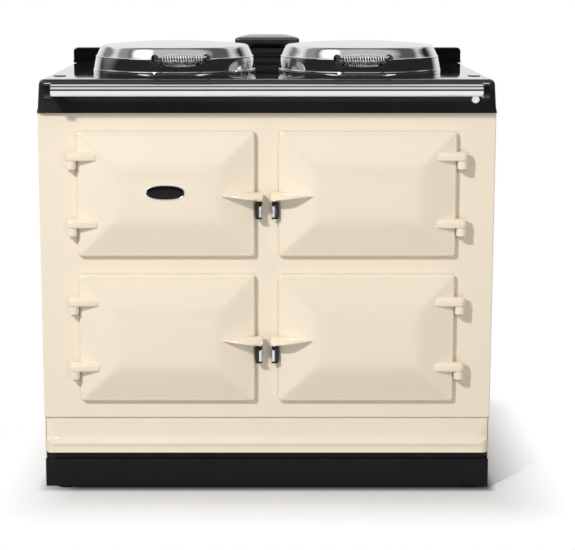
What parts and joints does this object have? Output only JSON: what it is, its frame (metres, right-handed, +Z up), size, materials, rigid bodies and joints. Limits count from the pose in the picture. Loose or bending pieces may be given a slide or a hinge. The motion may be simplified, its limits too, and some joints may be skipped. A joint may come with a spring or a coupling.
{
  "type": "range cooker",
  "caption": "Free-standing enamelled heat-storage range cooker with hipped hinged doors, round insulated lids over hotplates, a chrome handrail and a rear vent cowl.",
  "frame": {"origin": "on the floor, under the middle of the cooker's bounding box", "axes": "+X to the right seen from the front, +Y from the front to the back, +Z up"},
  "size_m": [0.987, 0.773, 0.982],
  "materials": {
    "cream_enamel": "gloss",
    "black_enamel": "gloss",
    "chrome": "polished",
    "lid_steel": "satin",
    "raw_iron": "matte",
    "oven_enamel": "satin",
    "steel": "satin",
    "galvanised": "matte",
    "black_steel": "matte",
    "insulation": "matte",
    "black_glass": "gloss",
    "black_plastic": "matte"
  },
  "bodies": {
    "body": {"top_plate": "black_enamel", "corner_plugs": "black_enamel", "rear_upstand": "black_enamel", "vent_cowl": "black_enamel", "vent_cap": "black_enamel", "handrail": "chrome", "rail_brackets": "black_enamel", "selector_switch": "black_plastic", "front_plate": "cream_enamel", "side_panel_left": "cream_enamel", "side_panel_right": "cream_enamel", "back_panel": "galvanised", "cable_gland": "black_plastic", "base_skirt": "cream_enamel", "vent_strip": "black_steel", "plinth_panel": "black_enamel", "base_frame": "black_steel", "levelling_feet": "black_steel", "body_insulation": "insulation", "control_housing": "galvanised", "control_panel": "black_glass", "oven_liner_upper_right": "oven_enamel", "oven_liner_lower_left": "oven_enamel", "oven_liner_lower_right": "oven_enamel", "door_catch_brackets": "black_steel", "oven_shelves": "chrome", "heating_elements": "steel", "hotplate_left": "raw_iron", "hotplate_right": "raw_iron", "lid_hinge_brackets": "black_enamel", "hinge_pins": "steel"},
    "door_upper_left": {"door_upper_left": "cream_enamel", "door_pan_upper_left": "steel", "badge_plate": "black_enamel"},
    "catch_roller_upper_left": {"catch_roller_upper_left": "chrome"},
    "door_upper_right": {"door_upper_right": "cream_enamel", "door_pan_upper_right": "steel", "door_insulation_upper_right": "insulation"},
    "catch_roller_upper_right": {"catch_roller_upper_right": "chrome"},
    "door_lower_left": {"door_lower_left": "cream_enamel", "door_pan_lower_left": "steel", "door_insulation_lower_left": "insulation"},
    "catch_roller_lower_left": {"catch_roller_lower_left": "chrome"},
    "door_lower_right": {"door_lower_right": "cream_enamel", "door_pan_lower_right": "steel", "door_insulation_lower_right": "insulation"},
    "catch_roller_lower_right": {"catch_roller_lower_right": "chrome"},
    "lid_left": {"lid_dome_left": "lid_steel", "lid_liner_left": "chrome", "lid_insulation_left": "insulation", "lid_posts_left": "chrome", "lid_coil_left": "chrome", "lid_arm_left": "black_enamel"},
    "lid_right": {"lid_dome_right": "lid_steel", "lid_liner_right": "chrome", "lid_insulation_right": "insulation", "lid_posts_right": "chrome", "lid_coil_right": "chrome", "lid_arm_right": "black_enamel"},
    "selector_knob": {"selector_knob": "chrome"}
  },
  "joints": [
    {"name": "door_upper_left_hinge", "type": "hinge", "parent": "body", "child": "door_upper_left", "pos_m": [-0.4185, -0.3235, 0.6608], "axis": [0, 0, -1], "range_deg": [0, 115]},
    {"name": "catch_roller_upper_left_spin", "type": "hinge", "parent": "body", "child": "catch_roller_upper_left", "pos_m": [-0.0149, -0.3215, 0.6258], "axis": [0, 0, 1], "continuous": true},
    {"name": "door_upper_right_hinge", "type": "hinge", "parent": "body", "child": "door_upper_right", "pos_m": [0.4185, -0.3235, 0.6608], "axis": [0, 0, 1], "range_deg": [0, 115]},
    {"name": "catch_roller_upper_right_spin", "type": "hinge", "parent": "body", "child": "catch_roller_upper_right", "pos_m": [0.0149, -0.3215, 0.6258], "axis": [0, 0, 1], "continuous": true},
    {"name": "door_lower_left_hinge", "type": "hinge", "parent": "body", "child": "door_lower_left", "pos_m": [-0.4185, -0.3235, 0.3444], "axis": [0, 0, -1], "range_deg": [0, 115]},
    {"name": "catch_roller_lower_left_spin", "type": "hinge", "parent": "body", "child": "catch_roller_lower_left", "pos_m": [-0.0149, -0.3215, 0.3094], "axis": [0, 0, 1], "continuous": true},
    {"name": "door_lower_right_hinge", "type": "hinge", "parent": "body", "child": "door_lower_right", "pos_m": [0.4185, -0.3235, 0.3444], "axis": [0, 0, 1], "range_deg": [0, 115]},
    {"name": "catch_roller_lower_right_spin", "type": "hinge", "parent": "body", "child": "catch_roller_lower_right", "pos_m": [0.0149, -0.3215, 0.3094], "axis": [0, 0, 1], "continuous": true},
    {"name": "lid_left_hinge", "type": "hinge", "parent": "body", "child": "lid_left", "pos_m": [-0.2083, 0.1355, 0.922], "axis": [-1, 0, 0], "range_deg": [0, 92]},
    {"name": "lid_right_hinge", "type": "hinge", "parent": "body", "child": "lid_right", "pos_m": [0.2083, 0.1355, 0.922], "axis": [-1, 0, 0], "range_deg": [0, 92]},
    {"name": "selector_knob_turn", "type": "hinge", "parent": "body", "child": "selector_knob", "pos_m": [0.4435, -0.3195, 0.869], "axis": [0, -1, 0], "range_deg": [0, 270]}
  ]
}
